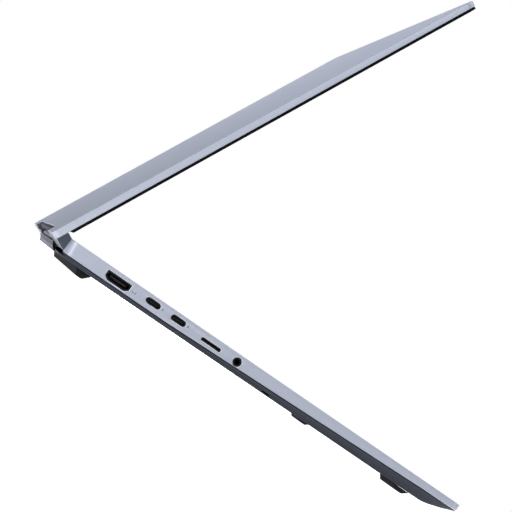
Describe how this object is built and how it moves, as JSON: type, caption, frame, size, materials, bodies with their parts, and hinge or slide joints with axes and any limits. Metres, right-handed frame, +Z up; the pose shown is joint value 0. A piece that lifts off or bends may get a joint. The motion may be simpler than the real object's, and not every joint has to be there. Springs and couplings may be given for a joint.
{
  "type": "laptop computer",
  "caption": "Thin aluminium laptop computer standing with its lid part open, side ports, keyboard, touchpad and rear vents.",
  "frame": {"origin": "centre of the bounding box on the table plane, under the feet", "axes": "+X across the width to the user's right, -Y towards the user and the front edge, +Z up from the table"},
  "size_m": [0.358, 0.2726, 0.248],
  "materials": {
    "antenna_strip": "fine texture",
    "arrow_and_right_keys": "fine texture",
    "audio_jack": "fine texture",
    "battery_pack": "fine texture",
    "bottom_cover": "dark anodised, satin",
    "bottom_screw_front_left": "black oxide",
    "bottom_screw_front_right": "black oxide",
    "bottom_screw_middle_left": "black oxide",
    "bottom_screw_middle_right": "black oxide",
    "bottom_screw_rear_left": "black oxide",
    "bottom_screw_rear_right": "black oxide",
    "display_bezel": "fine texture",
    "display_panel": "clear gloss over a dark panel",
    "fan_housing_left": "fine texture",
    "fan_housing_right": "fine texture",
    "fan_rotor_left": "fine texture",
    "fan_rotor_right": "fine texture",
    "front_foot_left": "matt moulded",
    "front_foot_right": "matt moulded",
    "function_key_row": "fine texture",
    "heat_pipe": "copper, nickel flashed",
    "heat_sink_left": "copper, nickel flashed",
    "heat_sink_right": "copper, nickel flashed",
    "hinge_bracket_left": "brushed",
    "hinge_bracket_right": "brushed",
    "hinge_cover_left": "satin paint",
    "hinge_cover_right": "satin paint",
    "hinge_pin_left": "brushed",
    "hinge_pin_right": "brushed",
    "hinge_spine": "satin anodised",
    "home_letter_row": "fine texture",
    "keyboard_plate": "brushed",
    "left_modifier_keys": "fine texture",
    "lid_cover": "satin anodised",
    "lid_hinge_bracket_left": "brushed",
    "lid_hinge_bracket_right": "brushed",
    "lower_letter_row": "fine texture",
    "main_board": "solder mask",
    "memory_card_slot": "brushed",
    "number_key_row": "fine texture",
    "power_button": "fine texture",
    "rear_foot": "matt moulded",
    "rear_grille": "satin anodised",
    "space_bar": "fine texture",
    "speaker_left": "fine texture",
    "speaker_right": "fine texture",
    "ssd_module": "solder mask",
    "top_case": "satin anodised",
    "touchpad": "etched satin",
    "type_a_port_front": "brushed",
    "type_a_port_rear": "brushed",
    "type_c_port_front": "brushed",
    "type_c_port_rear": "brushed",
    "upper_letter_row": "fine texture",
    "video_port": "brushed",
    "webcam_module": "fine texture",
    "wireless_card": "solder mask"
  },
  "bodies": {
    "base": {"audio_jack": "audio_jack", "battery_pack": "battery_pack", "bottom_cover": "bottom_cover", "bottom_screw_front_left": "bottom_screw_front_left", "bottom_screw_front_right": "bottom_screw_front_right", "bottom_screw_middle_left": "bottom_screw_middle_left", "bottom_screw_middle_right": "bottom_screw_middle_right", "bottom_screw_rear_left": "bottom_screw_rear_left", "bottom_screw_rear_right": "bottom_screw_rear_right", "fan_housing_left": "fan_housing_left", "fan_housing_right": "fan_housing_right", "front_foot_left": "front_foot_left", "front_foot_right": "front_foot_right", "heat_pipe": "heat_pipe", "heat_sink_left": "heat_sink_left", "heat_sink_right": "heat_sink_right", "hinge_bracket_left": "hinge_bracket_left", "hinge_bracket_right": "hinge_bracket_right", "keyboard_plate": "keyboard_plate", "main_board": "main_board", "memory_card_slot": "memory_card_slot", "rear_foot": "rear_foot", "rear_grille": "rear_grille", "speaker_left": "speaker_left", "speaker_right": "speaker_right", "ssd_module": "ssd_module", "top_case": "top_case", "type_a_port_front": "type_a_port_front", "type_a_port_rear": "type_a_port_rear", "type_c_port_front": "type_c_port_front", "type_c_port_rear": "type_c_port_rear", "video_port": "video_port", "wireless_card": "wireless_card"},
    "lid": {"lid_cover": "lid_cover", "antenna_strip": "antenna_strip", "display_bezel": "display_bezel", "display_panel": "display_panel", "webcam_module": "webcam_module", "hinge_spine": "hinge_spine", "hinge_cover_left": "hinge_cover_left", "hinge_cover_right": "hinge_cover_right", "lid_hinge_bracket_left": "lid_hinge_bracket_left", "lid_hinge_bracket_right": "lid_hinge_bracket_right", "hinge_pin_left": "hinge_pin_left", "hinge_pin_right": "hinge_pin_right"},
    "function_key_row": {"function_key_row": "function_key_row"},
    "number_key_row": {"number_key_row": "number_key_row"},
    "upper_letter_row": {"upper_letter_row": "upper_letter_row"},
    "home_letter_row": {"home_letter_row": "home_letter_row"},
    "lower_letter_row": {"lower_letter_row": "lower_letter_row"},
    "left_modifier_keys": {"left_modifier_keys": "left_modifier_keys"},
    "space_bar": {"space_bar": "space_bar"},
    "arrow_and_right_keys": {"arrow_and_right_keys": "arrow_and_right_keys"},
    "power_button": {"power_button": "power_button"},
    "touchpad": {"touchpad": "touchpad"},
    "fan_rotor_left": {"fan_rotor_left": "fan_rotor_left"},
    "fan_rotor_right": {"fan_rotor_right": "fan_rotor_right"}
  },
  "joints": [
    {"name": "lid_hinge", "type": "hinge", "parent": "base", "child": "lid", "pos_m": [0, 0.12578, 0.01154], "axis": [-1, 0, 0], "range_deg": [-63.9, 56.1]},
    {"name": "function_key_row_press", "type": "slide", "parent": "base", "child": "function_key_row", "axis": [0, 0.0077, -1], "range_m": [0, 0.0013], "stiffness_N_per_m": 900, "springref_m": -0.0006},
    {"name": "number_key_row_press", "type": "slide", "parent": "base", "child": "number_key_row", "axis": [0, 0.0077, -1], "range_m": [0, 0.0013], "stiffness_N_per_m": 900, "springref_m": -0.0006},
    {"name": "upper_letter_row_press", "type": "slide", "parent": "base", "child": "upper_letter_row", "axis": [0, 0.0077, -1], "range_m": [0, 0.0013], "stiffness_N_per_m": 900, "springref_m": -0.0006},
    {"name": "home_letter_row_press", "type": "slide", "parent": "base", "child": "home_letter_row", "axis": [0, 0.0077, -1], "range_m": [0, 0.0013], "stiffness_N_per_m": 900, "springref_m": -0.0006},
    {"name": "lower_letter_row_press", "type": "slide", "parent": "base", "child": "lower_letter_row", "axis": [0, 0.0077, -1], "range_m": [0, 0.0013], "stiffness_N_per_m": 900, "springref_m": -0.0006},
    {"name": "left_modifier_keys_press", "type": "slide", "parent": "base", "child": "left_modifier_keys", "axis": [0, 0.0077, -1], "range_m": [0, 0.0013], "stiffness_N_per_m": 900, "springref_m": -0.0006},
    {"name": "space_bar_press", "type": "slide", "parent": "base", "child": "space_bar", "axis": [0, 0.0077, -1], "range_m": [0, 0.0013], "stiffness_N_per_m": 900, "springref_m": -0.0006},
    {"name": "arrow_and_right_keys_press", "type": "slide", "parent": "base", "child": "arrow_and_right_keys", "axis": [0, 0.0077, -1], "range_m": [0, 0.0013], "stiffness_N_per_m": 900, "springref_m": -0.0006},
    {"name": "power_button_press", "type": "slide", "parent": "base", "child": "power_button", "axis": [0, 0.0077, -1], "range_m": [0, 0.0006], "stiffness_N_per_m": 900, "springref_m": -0.0006},
    {"name": "touchpad_press", "type": "slide", "parent": "base", "child": "touchpad", "axis": [0, 0.0077, -1], "range_m": [0, 0.0004], "stiffness_N_per_m": 4000, "springref_m": -0.0006},
    {"name": "fan_left_spin", "type": "hinge", "parent": "base", "child": "fan_rotor_left", "pos_m": [-0.088, 0.06511, 0.00737], "axis": [0, -0.0077, 1], "continuous": true},
    {"name": "fan_right_spin", "type": "hinge", "parent": "base", "child": "fan_rotor_right", "pos_m": [0.088, 0.06511, 0.00737], "axis": [0, -0.0077, 1], "continuous": true}
  ]
}
